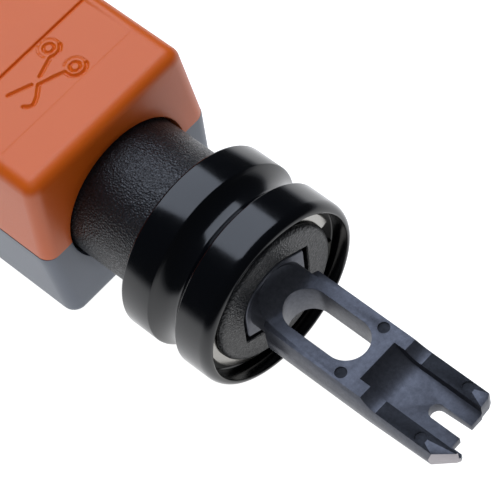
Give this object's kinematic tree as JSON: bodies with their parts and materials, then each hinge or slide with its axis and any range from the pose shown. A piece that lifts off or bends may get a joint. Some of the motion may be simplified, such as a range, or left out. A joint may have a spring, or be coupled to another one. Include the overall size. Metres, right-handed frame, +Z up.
{
  "type": "punch down tool",
  "caption": "Impact punch down tool with a two-part handle, sprung plunger, twist-lock collar and a forked 110-style blade with a side cutter.",
  "frame": {"origin": "under the middle of the tool's overall length, on the plane of the lower shell's flat underside", "axes": "+X along the tool's long axis from the butt to the blade's tip, +Z up through the orange upper shell, the tool's axis lies at z = 12.5 mm"},
  "size_m": [0.1732, 0.0262, 0.026],
  "materials": {
    "orange_shell": "moulded ABS, semi-gloss",
    "grey_shell": "moulded ABS, satin",
    "zinc_screw": "zinc plated",
    "hard_steel": "hardened and ground",
    "black_nylon": "glass filled nylon, spark textured",
    "sleeve_steel": "turned",
    "ring_steel": "spring steel, oiled",
    "ball_steel": "polished",
    "spring_steel": "music wire",
    "black_collar": "turned, black anodised, gloss",
    "lock_steel": "turned, blackened",
    "blade_steel": "moulded tool steel, phosphated, ground cutter",
    "hammer_steel": "turned, hardened",
    "latch_steel": "blanked, hardened",
    "seat_brass": "machined",
    "knob_black": "moulded nylon, satin"
  },
  "bodies": {
    "housing": {"upper_shell": "orange_shell", "lower_shell": "grey_shell", "shell_screws": "zinc_screw", "trip_ramp": "hard_steel"},
    "plunger": {"barrel": "black_nylon", "socket_sleeve": "sleeve_steel", "anvil_rod": "hard_steel", "cross_pin": "hard_steel", "retaining_ring": "ring_steel", "detent_ball": "ball_steel", "detent_spring": "spring_steel", "return_spring": "spring_steel"},
    "collar": {"collar": "black_collar", "lock_ring": "lock_steel", "drive_pins": "hard_steel"},
    "blade": {"blade": "blade_steel"},
    "hammer": {"hammer": "hammer_steel", "latch_spring": "spring_steel"},
    "latch": {"trip_latch": "latch_steel"},
    "seat": {"spring_seat": "seat_brass", "main_spring": "spring_steel"},
    "knob": {"force_screw": "sleeve_steel", "screw_clip": "ring_steel", "force_knob": "knob_black", "knob_pin": "hard_steel"}
  },
  "joints": [
    {"name": "plunger_slide", "type": "slide", "parent": "housing", "child": "plunger", "axis": [-1, 0, 0], "range_m": [0, 0.009], "stiffness_N_per_m": 900, "springref_m": -0.008, "deforming": ["return_spring", "main_spring"]},
    {"name": "hammer_slide", "type": "slide", "parent": "housing", "child": "hammer", "axis": [-1, 0, 0], "range_m": [0, 0.0091]},
    {"name": "latch_slide", "type": "slide", "parent": "hammer", "child": "latch", "axis": [0, 0, -1], "range_m": [0, 0.00165], "deforming": ["latch_spring"]},
    {"name": "collar_turn", "type": "hinge", "parent": "plunger", "child": "collar", "pos_m": [0.05443, 0, 0.0125], "axis": [1, 0, 0], "range_deg": [0, 60]},
    {"name": "blade_pull", "type": "slide", "parent": "plunger", "child": "blade", "axis": [1, 0, 0], "range_m": [0, 0.022]},
    {"name": "knob_turn", "type": "hinge", "parent": "housing", "child": "knob", "pos_m": [-0.08157, 0, 0.0125], "axis": [1, 0, 0], "range_deg": [0, 180]},
    {"name": "seat_slide", "type": "slide", "parent": "housing", "child": "seat", "axis": [1, 0, 0], "range_m": [0, 0.00301]}
  ],
  "couplings": [
    {"joint": "hammer_slide", "follows": "plunger_slide", "ratio": 1},
    {"joint": "latch_slide", "follows": "plunger_slide", "ratio": 0.17778},
    {"joint": "seat_slide", "follows": "knob_turn", "m_per_rad": 0.00095493}
  ]
}
